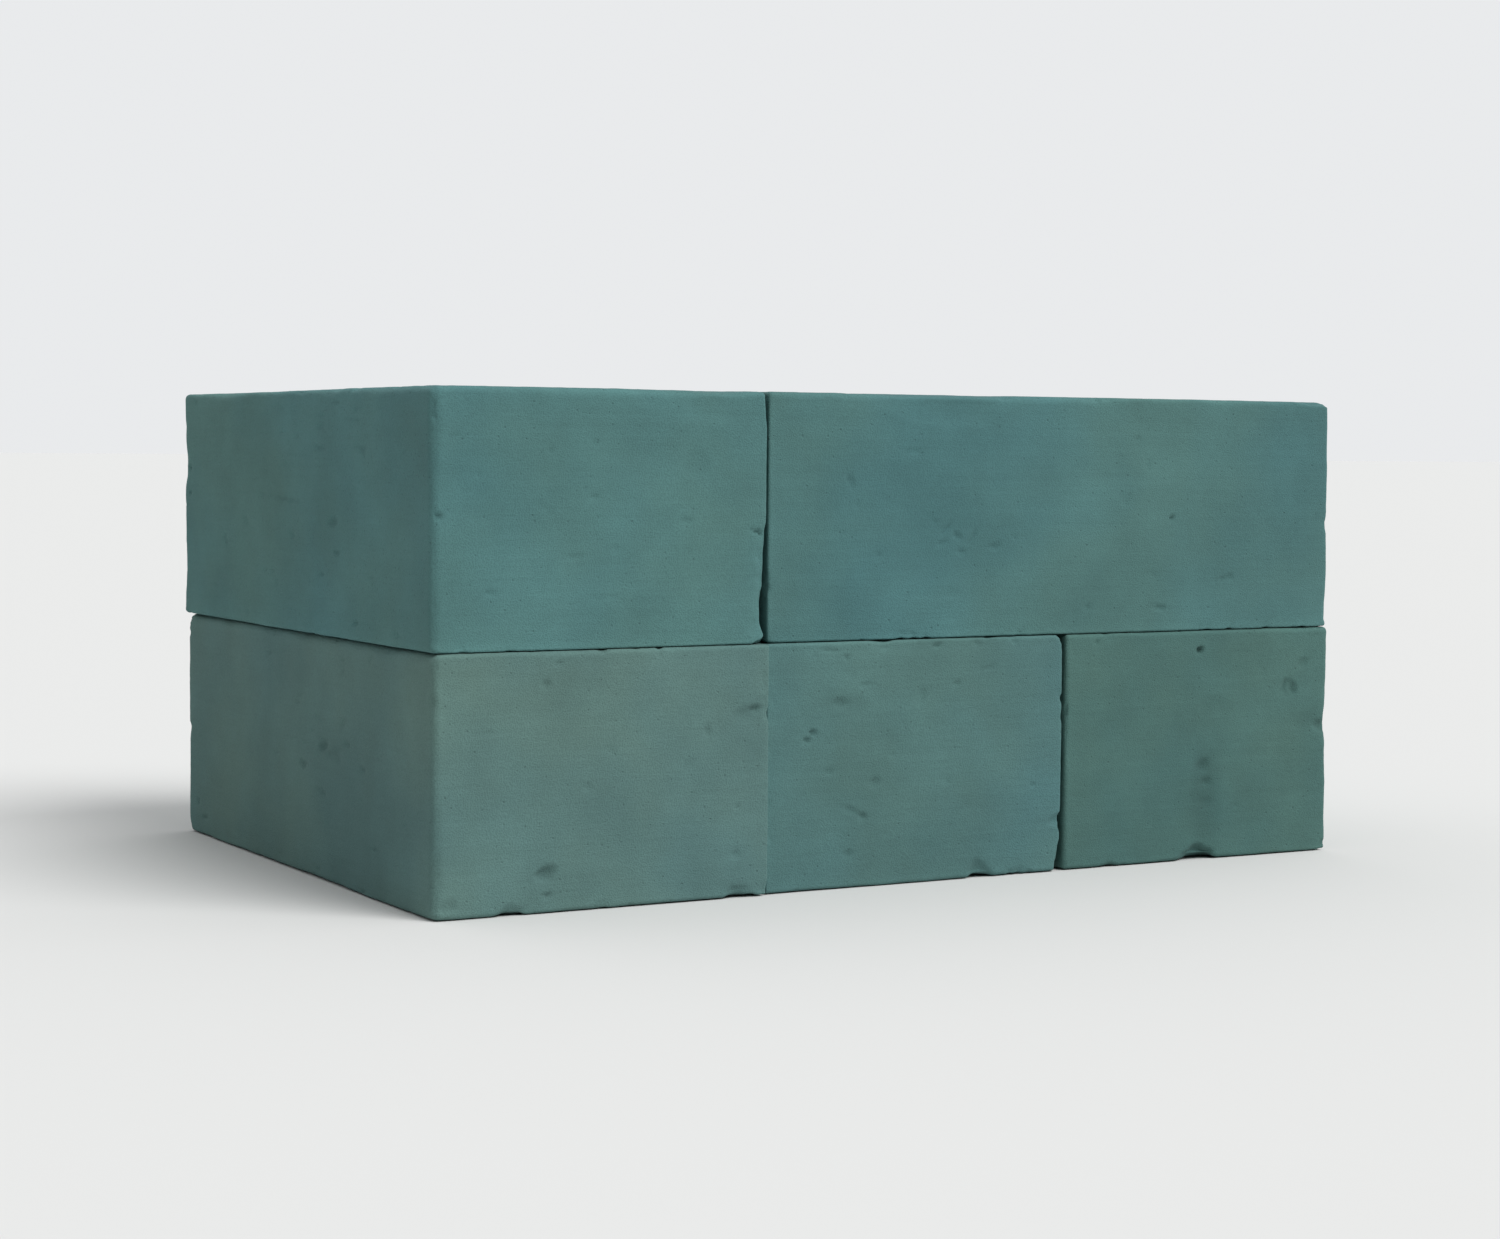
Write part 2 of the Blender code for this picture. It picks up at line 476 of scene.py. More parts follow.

# %% [markdown]
# ## Where the marks are
#
# The list says on which side each mark lies, where on it, how long, wide and deep it is, how far
# it is turned, and how much it darkens: stain, with painted shade in the hollow of a dent or pit.
# Typing it is slow, but there is no quicker way to put a certain dent on a certain brick, and every
# number can be changed on its own. The wide marks with hardly any depth are places where the foam
# was only handled and soiled.

# %% List the marks
# a mark's darkening is stain, with painted shade in the hollow of a dent or pit
MARKS = {  # side, across and up from its middle, length, width, depth (mm), turn, darkening
    "lower_left_brick": [
        Mark("front", -21.5, -28, 10, 6, 1.1, 5, 0.6),
        Mark("front", -20, -28, 20, 17, 0.3, 0, 0.25),
        Mark("front", -19.5, -34.5, 5, 2.4, 0.78, 0, 0.3),
        Mark("front", -15.5, 36.5, 6, 3, 0.5, 0, 0.12),
        Mark("front", -20.5, 30, 3.5, 3, 0.55, 0, 0.15),
        Mark("front", 53.5, 20, 8, 2.6, 1.05, 5, 0.35),
        Mark("front", 51, 19, 20, 11, 0.25, 0, 0.22),
        Mark("front", 48, 18.5, 8, 5, 0.4, 0, 0.3),
        Mark("front", 35.5, 13, 5, 3, 0.5, 100, 0.15),
        Mark("front", 46.5, -11, 4, 3, 0.78, 0, 0.2),
        Mark("front", 45.5, -26, 4, 3, 0.45),
        Mark("front", -52.5, -36, 7, 5, 0.5, 0, 0.2),
        Mark("front", -0.5, 8, 4, 3, 0.39),
        Mark("front", -6.5, -2, 5, 3, 0.39),
        Mark("left", 4, -4, 11, 4.5, 1.3, 0, 0.2),
        Mark("left", 23, 4, 8, 5, 1.4, 20, 0.7),
        Mark("left", 7, 3.5, 8, 2, 0.65),
        Mark("left", 36, 4, 11, 2, 0.52, -4),
        Mark("left", 20, 13, 14, 2.4, 0.65, -3),
        Mark("left", 22, -11.5, 14, 2.6, 0.78, -4),
        Mark("left", 57, 0, 7, 3, 0.9, 0, 0.3),
        Mark("left", 30, 2, 22, 6, 0.7, -12, 0.3),
        Mark("left", 35, -6, 62, 42, 0.35, 0, 0.16),
        Mark("front under", -34, 0, 13, 6, 1.2, 0, 0.3),
        Mark("front under", 47, 0, 14, 6, 1.0, 0, 0.3),
    ],
    "lower_middle_brick": [
        Mark("front", -41, 11.5, 4.8, 2.6, 1.15, -20, 0.5),
        Mark("front", -43, 9, 3.4, 2.2, 0.91, 0, 0.3),
        Mark("front", -30.5, 20, 9, 4, 0.59, 5, 0.3),
        Mark("front", -29, 20, 20, 11, 0.25, 0, 0.2),
        Mark("front", -27, -8, 34, 28, 0.3, 0, 0.18),
        Mark("front", -28.5, 35, 4, 2.2, 0.5, 0, 0.15),
        Mark("front", -33.5, 37.5, 9, 2, 0.5, -5, 0.15),
        Mark("front", -16.5, -6, 6.5, 4.5, 0.5, 20, 0.2),
        Mark("front", -34.5, -2, 7, 2.4, 0.45),
        Mark("front", -26, -15, 14, 2.6, 0.5, -22, 0.15),
        Mark("front", -21.5, -17, 3.4, 2.4, 0.65, -30, 0.2),
        Mark("front", -27.5, -29, 6.5, 3, 0.5, 0, 0.2),
        Mark("front", -20.5, 26, 6.5, 1.8, 0.52),
        Mark("front", 14.5, 25, 4.5, 1.8, 0.59, 5, 0.1),
        Mark("front", 26.5, 30, 8, 1.6, 0.45, 4),
        Mark("front", 6.5, 38, 5, 2, 0.78, 0, 0.2),
        Mark("front", 45.5, -10, 3.5, 2, 0.52),
        Mark("front", 0.5, 21, 6, 4, 0.39, 70),
        Mark("front", 10.5, -7, 6, 4, 0.33),
        Mark("front under", 24, 0, 12, 7, 1.4, 0, 0.3),
        Mark("front top", -12, 0, 18, 6, 0.7),
        Mark("front right", -22, 0, 3, 7, 0.9, 25),
    ],
    "lower_right_brick": [
        Mark("front", -0.5, 33.4, 3.5, 2.8, 1.5, 35, 0.85),
        Mark("front", 37.5, 19.5, 9, 4, 1.04, 56, 0.5),
        Mark("front", 41, 19, 8, 4, 0.91, -58, 0.4),
        Mark("front", 39.5, 17.5, 9, 6, 0.4, 0, 0.3),
        Mark("front", 46, 28, 5.5, 4, 0.52, 0, 0.3),
        Mark("front", 54, 5, 8, 5, 0.9, 0, 0.5),
        Mark("front", 48.5, 8, 18, 11, 0.35, 20, 0.3),
        Mark("front", 1.5, -7, 9, 6.5, 0.8, 0, 0.55),
        Mark("front", 3, -13, 7, 4, 0.6, 0, 0.3),
        Mark("front", 3.5, -20, 8, 7, 0.4, 0, 0.2),
        Mark("front", 2.5, -20, 17, 46, 0.3, 0, 0.4),
        Mark("front", 6.5, 14, 15, 9, 0.25, 0, 0.2),
        Mark("front", 16.5, -22, 4.5, 2.4, 0.52),
        Mark("front under", 1.5, 0, 19, 9, 2.2, 0, 0.4),
        Mark("front under", -38, 0, 9, 4, 0.7, 0, 0.1),
        Mark("front right", 5, 0, 18, 8, 0.7, 0, 0.2),
    ],
    "upper_left_brick": [
        Mark("front", -55, 0.6, 4.2, 2, 0.8, -8, 0.35),
        Mark("front", -18.5, 20.6, 3.6, 2.8, 0.45, 0, 0.12),
        Mark("front", -6.5, 9, 4.5, 1.8, 0.45, -20),
        Mark("front", -3, 6.6, 5, 2, 0.52, -5, 0.1),
        Mark("front", -3.5, 23, 2.6, 2.2, 0.45),
        Mark("front", -37.5, -22.5, 6, 1.8, 0.52),
        Mark("front", -10.5, -12, 14, 1.6, 0.33, 2),
        Mark("front", 2.5, -9.4, 6, 1.6, 0.39),
        Mark("front", 29.5, -1.3, 7, 2.4, 0.45, 0, 0.1),
        Mark("front", 31.5, 16, 10, 8, 0.35, 0, 0.1),
        Mark("front", -0.5, -24.4, 11, 1.5, 0.26),
        Mark("front", -42.5, 13, 3.4, 2.4, 0.33),
        Mark("front", 54.5, -4.6, 7, 1.6, 1.3, -18, 0.6),
        Mark("front right", -22, 0, 38, 8, 1.3),
        Mark("front right", -33, 0, 20, 8, 1.2),
        Mark("front top", 35, 0, 52, 16, 0.8),
        Mark("left", 23, 21, 15, 2.4, 0.65, -3, 0.1),
        Mark("left", 24, 28, 13, 2.0, 0.52, -3),
        Mark("left", 54, 30, 13, 1.8, 0.52, -2),
        Mark("left", 60, 21, 15, 2.0, 0.59, -3, 0.1),
        Mark("left", -10, 34, 13, 2.0, 0.45, -2),
        Mark("left", -10, 26, 13, 2.0, 0.39, -2),
        Mark("left", -15, 4, 48, 2.4, 0.59, -3, 0.1),
        Mark("left", 35, -3, 13, 3.4, 0.78, 6, 0.3),
        Mark("left", 24, -20.5, 7, 2.4, 0.78, 0, 0.3),
        Mark("left", 75, 12, 9, 2.4, 0.33),
        Mark("left back", 18, 0, 26, 8, 0.8),
    ],
    "upper_right_brick": [
        Mark("front", 45, -1, 3.2, 2.6, 1.43, 0, 0.8),
        Mark("front", 30, 26, 3.4, 2.4, 0.52, 0, 0.2),
        Mark("front", -53, -1, 6, 1.6, 0.52, -40, 0.1),
        Mark("front", -47, -4, 7, 1.6, 0.59, 45, 0.1),
        Mark("front", -43, -6.5, 5, 2, 0.65, -30, 0.2),
        Mark("front", -49, -9, 6, 1.6, 0.52, 20, 0.1),
        Mark("front", -37, -7, 6, 1.6, 0.52, 60, 0.1),
        Mark("front", -29, -10, 7, 2.2, 0.55, 5, 0.2),
        Mark("front", -41, -12, 5, 1.6, 0.52, -15, 0.1),
        Mark("front", -20, -7, 5, 1.6, 0.39),
        Mark("front", -74, -12, 4, 2.4, 0.78, 0, 0.4),
        Mark("front", -85, 12, 7, 3, 0.45, -60, 0.2),
        Mark("front", -82, 4, 3.4, 2.2, 0.52, 0, 0.1),
        Mark("front", 25, 4, 3.4, 3, 0.45),
        Mark("front", 10, -31, 3.4, 2.8, 0.65, 0, 0.2),
        Mark("front", 40, -32, 8, 1.8, 0.65, -3, 0.2),
        Mark("front", 70, -22, 15, 2.4, 0.59, 4, 0.2),
        Mark("front", -60, 21, 9, 1.8, 0.39),
        Mark("front", -47, -26, 11, 5, 0.25),
        Mark("front", 69, -11, 64, 44, 0.35, 0, 0.16),
        Mark("front", -42, -11, 68, 44, 0.35, 0, 0.18),
        Mark("front top", -50, 0, 100, 16, 0.9),
    ],
}
for brick, marks in MARKS.items():
    deepest = max(mark.depth for mark in marks)
    print(brick, "has", len(marks), "marks, the deepest", deepest, "mm")

# %% [markdown]
# ## Small scars everywhere else
#
# The sides that face away were handled as much as the front. They get scars too, but nobody will
# ask for one at an exact place, so a random generator lays them. It starts from a fixed seed, so
# the bricks come out the same each time.

# %% Scatter small scars
SCARS_PER_AREA = 1300  # per square metre
SCAR_LENGTH, SCAR_SLIMNESS, LEAST_WIDTH = (2, 9), (0.2, 0.5), 1.8  # mm, share of the length, mm
SCAR_DEPTH = (0.5, 2.2)  # mm, for a scar 1 mm long
SCAR_TILT = 25  # degrees: two scars in three are turned by less
# how much a scar darkens: stain, with painted shade in its hollow
SCAR_DARKENING = (0, 0.4)
FRONT_SHARE, FRONT_STRENGTH = 0.35, 0.4  # the front has fewer and fainter ones
NICKS = 3  # on each edge that the list leaves out
NICK_LENGTH, NICK_WIDTH, NICK_DEPTH = (4, 22), (4, 8), (0.3, 1.1)  # mm
PLACED_EDGES = {"front", "left"}  # the edges of these sides have their nicks in the list


def scatter_scars(half, seed):
    """Random scars on every side and nicks on the edges at the back, for a brick of this size.

    A side has as many scars as its area asks for. A scar's depth is a random number divided by
    the square root of its length, so the long ones are shallow.
    """
    random = np.random.default_rng(seed)
    scars = []
    for name, side in SIDES.items():
        wide, high = half @ abs(side.across), half @ abs(side.up)
        share, strength = (FRONT_SHARE, FRONT_STRENGTH) if name == "front" else (1, 1)
        for _ in range(int(SCARS_PER_AREA * share * 4 * wide * high)):
            across = random.uniform(-wide, wide) / MM
            up = random.uniform(-high, high) / MM
            length = random.uniform(*SCAR_LENGTH)
            width = max(length * random.uniform(*SCAR_SLIMNESS), LEAST_WIDTH)
            depth = strength * random.uniform(*SCAR_DEPTH) / math.sqrt(length)
            turn = random.normal(0, SCAR_TILT)
            stain = strength * random.uniform(*SCAR_DARKENING)
            scars.append(Mark(name, across, up, length, width, depth, turn, stain))
    for one, other in combinations(SIDES, 2):
        along = half @ abs(np.cross(SIDES[one].facing, SIDES[other].facing)) / MM
        if along == 0 or {one, other} & PLACED_EDGES:
            continue
        for _ in range(NICKS):
            across = random.uniform(-along, along)
            length, width = random.uniform(*NICK_LENGTH), random.uniform(*NICK_WIDTH)
            depth = random.uniform(*NICK_DEPTH)
            scars.append(Mark(f"{one} {other}", across, 0, length, width, depth))
    return scars


for node, place in places.items():
    print(node, "gets", len(scatter_scars(place.half, seeds[node])), "small scars")

# %% [markdown]
# ## The sawn surface
#
# Between the marks the foam isn't flat either. The saw left lines on it, level on the upright sides
# and lengthwise on the top, too faint to count but enough to catch the light. Under the lines
# there is a slow swell, from the block drying unevenly, and next to the edges crumbs have come
# away. All of this takes foam off, so no brick grows. A side that is pressed against another brick
# stays flatter. It also stands a hair further out than the CAD block's, which leaves a little room
# there, and still clears its neighbour.

# %% Work out the relief
SWELL, SWELL_SIZE = 0.35 * MM, 70 * MM  # each is a depth, and the size of the noise that makes it
SAW_LINE, LINE_SIZE = 0.05 * MM, 2.6 * MM
GRAIN, GRAIN_SIZE = 0.04 * MM, 2.4 * MM
CRUMB, CRUMB_SIZE = 1.2 * MM, 7 * MM
RAG, RAG_SIZE = 0.6, 2.6 * MM  # finer noise on a crumb's outline, as a share of the coarse one
CRUMBS_FROM = 0.55  # noise above this makes a crumb come away
CRUMBS_REACH = 2.4 * MM
STRETCH = 1 / 30  # squeezes noise along a saw line, which draws it out thirty times
PRESSED_FLAT = 0.8  # how much of the swell goes where two bricks touch
SNUG = 0.2 * MM  # how much closer than the CAD blocks two touching sides stand
TOUCHING = {
    "lower_left_brick": ("top", "right"),
    "lower_middle_brick": ("top", "left"),
    "lower_right_brick": ("top",),
    "upper_left_brick": ("under",),
    "upper_right_brick": ("under",),
}


def saw_lines(points, outward, half, seed):
    """Noise drawn out along the way the saw ran: level on the upright sides, else lengthwise."""
    level = noise(points * (STRETCH, STRETCH, 1), LINE_SIZE, seed)
    lengthwise = noise(points * np.where(half == half.max(), STRETCH, 1), LINE_SIZE, seed + 1)
    flat = np.abs(outward[:, 2])
    return flat * lengthwise + (1 - flat) * level


def relief(points, outward, half, seed, touching):
    """How far the sawn surface lies under the CAD block's.

    Swell is slow noise moved up to run from 0 to 1, and a fifth of that on a side that touches
    another brick. Lines and grain are fine noise. A crumb comes away where middling noise is above
    a threshold, and less so the further from an edge, by e^(-(distance/reach)^2). A touching side
    also stands SNUG closer to its neighbour than the CAD leaves it.
    """
    pressed = sum(np.maximum(outward @ SIDES[side].facing, 0) for side in touching)
    pressed = np.minimum(pressed, 1)
    swell = SWELL * (1 - PRESSED_FLAT * pressed) * (1 + noise(points, SWELL_SIZE, seed)) / 2
    lines = SAW_LINE * (1 + saw_lines(points, outward, half, seed + 1))
    grain = GRAIN * (1 + noise(points, GRAIN_SIZE, seed + 3))
    lumps = noise(points, CRUMB_SIZE, seed + 4) + RAG * noise(points, RAG_SIZE, seed + 5)
    crumbs = CRUMB * np.maximum(lumps - CRUMBS_FROM, 0)
    crumbs *= np.exp(-((from_edge(points, half) / CRUMBS_REACH) ** 2))
    return swell + lines + grain + crumbs - SNUG * pressed


depth = relief(square, outward, half, seeds[TRIAL] + RELIEF_SEED, TOUCHING[TRIAL]) / MM
print("the relief of", TRIAL, "runs from", depth.min().round(2), "to", depth.max().round(2), "mm")

# %% [markdown]
# ## A whole brick
#
# The steps now go together, in the order in which they happened to the real brick: sawn, rubbed
# and marked, and at last broken at a corner. Each step measures from the square block, and not from
# what the step before made of it, so a mark stays where the list says. Along the way, two numbers
# are noted for each point, because the material will want them: how much its marks darken it, with
# stain and painted shade in their hollows, and how close it is to an edge, for a painted highlight.

# %% Put a brick together
# how far from an edge the painted highlight reaches
HIGHLIGHT_REACH = 2 * MM
LEAN = 3 * MM  # deeper than any mark, so that the skin hardly ever folds
DARKENING_SEEN = 0.1  # a darkening, stain with painted shade, that is strong enough to see


def shape_brick(brick, place, seed):
    """A brick's points in place, its faces, and each point's darkening and painted highlight.

    Points are pushed in along the way that a block with edges LEAN round would face. On a sharp
    edge itself the direction would turn too suddenly, and neighbouring points would cross. The
    darkenings of the marks, stain with painted shade in their hollows, lie over each other: what
    one leaves undarkened, the next can still darken. The painted highlight is e^(-distance/reach),
    where the distance is from an edge.
    """
    flat, faces = brick_skin(place.half)
    points, outward = soften(flat, place.half, edge_radii(flat, place.half, brick, seed))
    leaning = soften(flat, place.half, np.full(len(flat), LEAN))[1]
    depth = relief(flat, outward, place.half, seed + RELIEF_SEED, TOUCHING[brick])
    undarkened = np.ones(len(points))
    for number, mark in enumerate(MARKS[brick] + scatter_scars(place.half, seed)):
        pressed = bowl(flat, leaning, place.half, mark, seed + MARK_SEED + number)
        depth += mark.depth * MM * pressed
        undarkened *= 1 - mark.stain * pressed
    points = points - depth[:, None] * leaning
    for number, chip in enumerate(CHIPS):
        if chip.brick == brick:
            points = break_corner(points, place.half, chip, seed + CHIP_SEED + number)
    # a painted highlight, strongest on an edge and fading away from it
    painted_highlight = np.exp(-from_edge(flat, place.half) / HIGHLIGHT_REACH)
    return turned(points, place.yaw) + place.middle, faces, 1 - undarkened, painted_highlight


shapes = {node: shape_brick(node, place, seeds[node]) for node, place in places.items()}
for node, (points, faces, stain, painted_highlight) in shapes.items():
    print(node, len(points), "points,", (stain > DARKENING_SEEN).mean().round(3), "of them stained")

# %% [markdown]
# ## From arrays to Blender
#
# Adding half a million points one at a time would be slow. Blender can take a whole array in one
# call, foreach_set, as long as it is flat: x, y, z, x, y, z and so on. The two extra numbers go in
# as attributes, which a material can read by name. Each finished brick takes the place of its
# plain CAD block and moves with it.

# %% Make it a mesh
def foam_piece(name, points, faces, stain, painted_highlight):
    """A smooth-shaded object from arrays of points and square faces, its darkening and painted
    highlight.

    Its place is in its points, so the object itself stays at the origin.
    """
    mesh = bpy.data.meshes.new(name)
    mesh.vertices.add(len(points))
    mesh.vertices.foreach_set("co", points.astype(np.float32).ravel())
    mesh.loops.add(faces.size)
    mesh.loops.foreach_set("vertex_index", faces.astype(np.int32).ravel())
    mesh.polygons.add(len(faces))
    mesh.polygons.foreach_set("loop_start", np.arange(0, faces.size, 4, dtype=np.int32))
    mesh.update(calc_edges=True)
    mesh.shade_smooth()
    for layer, values in (("stain", stain), ("painted_highlight", painted_highlight)):
        attribute = mesh.attributes.new(layer, "FLOAT", "POINT")
        attribute.data.foreach_set("value", values.astype(np.float32))
    piece = bpy.data.objects.new(name, mesh)
    bpy.context.scene.collection.objects.link(piece)
    return piece


bodies = frame["record"]["behaviour"]["bodies"]
bricks = {}
for node, shape in shapes.items():
    piece = foam_piece(node.replace("brick", "foam"), *shape)
    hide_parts(node)
    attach(piece, next(body for body, nodes in bodies.items() if node in nodes))
    bricks[node] = piece
    print(piece.name, "stands for", node, "and has", len(piece.data.polygons), "faces")

# %% [markdown]
# ## Nodes without the mouse
#
# A material is a network of nodes. In the editor they are dragged and joined by hand. In a script
# the same four moves come again and again: add a node with its inputs set or joined, squeeze a
# value into another range, put two values through a sum, and brighten or darken a colour. Each
# gets a small helper, so that the recipe that follows reads like a recipe.

# %% Helpers for joining nodes
def add(tree, kind, **inputs):
    """A new shader node. An input that is another node's socket is joined, any other is set."""
    made = tree.nodes.new("ShaderNode" + kind)
    for name, value in inputs.items():
        socket = made.inputs[name.replace("_", " ")]
        if isinstance(value, bpy.types.NodeSocket):
            tree.links.new(value, socket)
        else:
            socket.default_value = value
    return made


def ranged(tree, value, low, high, to_low, to_high):
    """The value, with low to high stretched to to_low to to_high, and held at the ends."""
    ends = {"From_Min": low, "From_Max": high, "To_Min": to_low, "To_Max": to_high}
    return add(tree, "MapRange", Value=value, **ends).outputs["Result"]


def combined(tree, one, other, operation):
    """Two values put through a sum such as MULTIPLY or DIVIDE."""
    made = tree.nodes.new("ShaderNodeMath")
    made.operation = operation
    tree.links.new(one, made.inputs[0])
    tree.links.new(other, made.inputs[1])
    return made.outputs["Value"]


def scaled(tree, colour, factor):
    """The colour made brighter or darker by a factor."""
    made = tree.nodes.new("ShaderNodeVectorMath")
    made.operation = "SCALE"
    tree.links.new(colour, made.inputs[0])
    tree.links.new(factor, made.inputs["Scale"])
    return made.outputs["Vector"]


print("ready to join:", ", ".join(helper.__name__ for helper in (add, ranged, combined, scaled)))

# %% [markdown]
# ## Foam as a material
#
# Up close, floral foam is a froth of open cells under half a millimetre wide. Each cell is too
# small to model, so the material draws them. From further off the eye sees something else: soft
# clouds of bluer and greener foam, where the mix foamed up a little differently. Both are
# patterns on Object coordinates, which run through the brick like the grain through wood.

# %% Patterns in the foam
SAW_SQUEEZE = (0.04, 0.04, 1.0)  # draws noise out into level lines
CLOUDS = (11.0, 3.0, 0.55)  # how many to a metre, how many finer layers, and how strong each is
PATCHES = (24.0, 2.0, 0.5)
TONES = (70.0, 4.0, 0.6)
LINES = (620.0, 3.0, 0.6)
BUBBLES, CELLS = 420.0, 2100.0  # how many to a metre
Patterns = namedtuple("Patterns", "clouds patches tones lines cells pores")


def soft_noise(tree, place, scale, detail, roughness):
    """Blender's own smooth noise at a place, a value about 0 to 1."""
    made = add(tree, "TexNoise", Vector=place, Scale=scale, Detail=detail, Roughness=roughness)
    return made.outputs["Fac"]


def foam_patterns(tree, cut_from):
    """Six patterns, read at the place in the foam that the brick was cut from.

    Each is a value about 0 to 1, but that of the pores goes higher. A pore is the middle of a
    bubble. The distance from the middle is divided by a random number that each bubble has, so a
    few bubbles show wide open, and most hardly at all.
    """
    place = add(tree, "Mapping", Vector=add(tree, "TexCoord").outputs["Object"], Location=cut_from)
    place = place.outputs["Vector"]
    sawn = add(tree, "Mapping", Vector=place, Scale=SAW_SQUEEZE).outputs["Vector"]
    bubbles = add(tree, "TexVoronoi", Vector=place, Scale=BUBBLES)
    luck = add(tree, "SeparateColor", Color=bubbles.outputs["Color"]).outputs["Red"]
    return Patterns(
        soft_noise(tree, place, *CLOUDS),
        soft_noise(tree, place, *PATCHES),
        soft_noise(tree, place, *TONES),
        soft_noise(tree, sawn, *LINES),
        add(tree, "TexVoronoi", Vector=place, Scale=CELLS).outputs["Distance"],
        combined(tree, bubbles.outputs["Distance"], luck, "DIVIDE"),
    )


for name, each in (("clouds", 1 / CLOUDS[0]), ("bubbles", 1 / BUBBLES), ("cells", 1 / CELLS)):
    print(name, "are about", round(each / MM, 2), "mm apart")

# %% [markdown]
# ## Colour of the foam
#
# The green comes from a dye that is stirred into the mix, so it is nearly the same all through.
# Each
# brick has one shade: its own tone, with some painted light in it. On top come small changes, each
# a factor close to 1, and multiplied together: clouds that lean to blue or to green, paler and
# darker patches, the painted shade inside each cell, and a dot of painted shade in each pore. Where
# the brick was marked, it is darker, from stain and from painted shade in the hollows, and near its
# edges a painted highlight makes it a little paler.

# %% Colour of the foam
BLUER = (0.93, 0.99, 1.035)
GREENER = (1.05, 1.012, 0.97)
BLUE_TO_GREEN = (0.35, 0.65, 0, 1)  # the stretch of a pattern that counts, and what it becomes
# how unevenly the marks' stain and painted shade come out
DARKENING_UNEVEN = (0.35, 0.65, 0.6, 1.2)
BRIGHTNESS = {  # the same, where it becomes a factor on the shade
    "patches": (0.3, 0.7, 0.92, 1.08),
    "tones": (0.3, 0.7, 0.95, 1.05),
    "lines": (0.3, 0.7, 0.98, 1.02),
    "cells": (0.1, 0.6, 0.88, 1.08),
    # a dot of painted shade in each pore
    "pores": (0.08, 0.17, 0.78, 1.0),
    # the marks' stain, with painted shade in their hollows
    "stain": (0, 1, 1.0, 0.58),
    # a painted highlight, paler near the edges
    "painted_highlight": (0, 1, 1.0, 1.08),
}


def foam_colour(tree, shade, patterns):
    """The shade mixed from its bluer and its greener kind, then scaled by each pattern in turn."""
    tint = tree.nodes.new("ShaderNodeMix")
    tint.data_type = "RGBA"
    tint.inputs["A"].default_value = (*[a * b for a, b in zip(shade, BLUER)], 1)
    tint.inputs["B"].default_value = (*[a * b for a, b in zip(shade, GREENER)], 1)
    tree.links.new(ranged(tree, patterns.clouds, *BLUE_TO_GREEN), tint.inputs["Factor"])
    # the marks' stain and painted shade, and the painted highlight near the edges
    stain, painted_highlight = [tree.nodes.new("ShaderNodeAttribute") for _ in range(2)]
    stain.attribute_name, painted_highlight.attribute_name = "stain", "painted_highlight"
    uneven = ranged(tree, patterns.tones, *DARKENING_UNEVEN)
    darkened = combined(tree, stain.outputs["Fac"], uneven, "MULTIPLY")
    values = {**patterns._asdict(), "stain": darkened, "painted_highlight": painted_highlight.outputs["Fac"]}
    colour = tint.outputs["Result"]
    for name, ends in BRIGHTNESS.items():
        colour = scaled(tree, colour, ranged(tree, values[name], *ends))
    return colour


for name, ends in BRIGHTNESS.items():
    print(name + ": from", ends[:2], "to a factor from", ends[2:])

# %% [markdown]
# ## Surface of the foam
#
# Broken cell walls scatter light every way, so the foam has hardly any shine: it is nearly as
# rough as the shader allows, with little mirror reflection and a breath of sheen. Bump gives the
# cells and pores their depth. It only tilts the shading, which is enough for hollows a quarter of
# a millimetre deep, and the larger shapes are real geometry already.

# %% Foam material
SPECULAR, SHEEN, SHEEN_ROUGHNESS = 0.1, 0.03, 0.6
ROUGHNESS = (0.3, 0.7, 0.9, 1.0)  # the stretch of the tones that counts, and what it becomes
PORE_WALL = (0.06, 0.24, 0, 1)  # the same, for the pores and their height
SCORE_DEPTH, CELL_DEPTH, PORE_DEPTH = 0.3 * MM, 0.2 * MM, 0.3 * MM


def foam(name, shade, cut_from):
    """Matte open-celled foam in one shade, with its bumps laid over each other, coarse to fine."""
    material = bpy.data.materials.new(name)
    material.use_nodes = True
    tree = material.node_tree
    surface = tree.nodes["Principled BSDF"]
    surface.inputs["Specular IOR Level"].default_value = SPECULAR
    surface.inputs["Sheen Weight"].default_value = SHEEN
    surface.inputs["Sheen Roughness"].default_value = SHEEN_ROUGHNESS
    patterns = foam_patterns(tree, cut_from)
    tree.links.new(foam_colour(tree, shade, patterns), surface.inputs["Base Color"])
    tree.links.new(ranged(tree, patterns.tones, *ROUGHNESS), surface.inputs["Roughness"])
    scored = add(tree, "Bump", Height=patterns.lines, Distance=SCORE_DEPTH, Strength=0.35)
    froth = add(
        tree, "Bump", Height=patterns.cells, Distance=CELL_DEPTH, Strength=0.6,
        Normal=scored.outputs["Normal"],
    )
    holes = add(
        tree, "Bump", Height=ranged(tree, patterns.pores, *PORE_WALL), Distance=PORE_DEPTH,
        Strength=0.5, Normal=froth.outputs["Normal"],
    )
    tree.links.new(holes.outputs["Normal"], surface.inputs["Normal"])
    return material


# each brick's own tone with painted light in it: the lower row, most of all the lower left,
# is warmer with painted bounce light, and the lower right is darker with painted shade
SHADES_WITH_PAINTED_LIGHT = {  # linear red, green and blue
    "lower_left_brick": (0.100, 0.180, 0.167),
    "lower_middle_brick": (0.079, 0.164, 0.160),
    "lower_right_brick": (0.073, 0.149, 0.133),
    "upper_left_brick": (0.081, 0.179, 0.174),
    "upper_right_brick": (0.074, 0.165, 0.162),
}
CUT_FROM = {  # where in the endless block of foam each brick was cut, in metres
    "lower_left_brick": (0.05, 0.0, 0.0),
    "lower_middle_brick": (0.31, 0.17, 0.0),
    "lower_right_brick": (0.62, 0.34, 0.0),
    "upper_left_brick": (0.93, 0.51, 0.0),
    "upper_right_brick": (1.24, 0.68, 0.0),
}
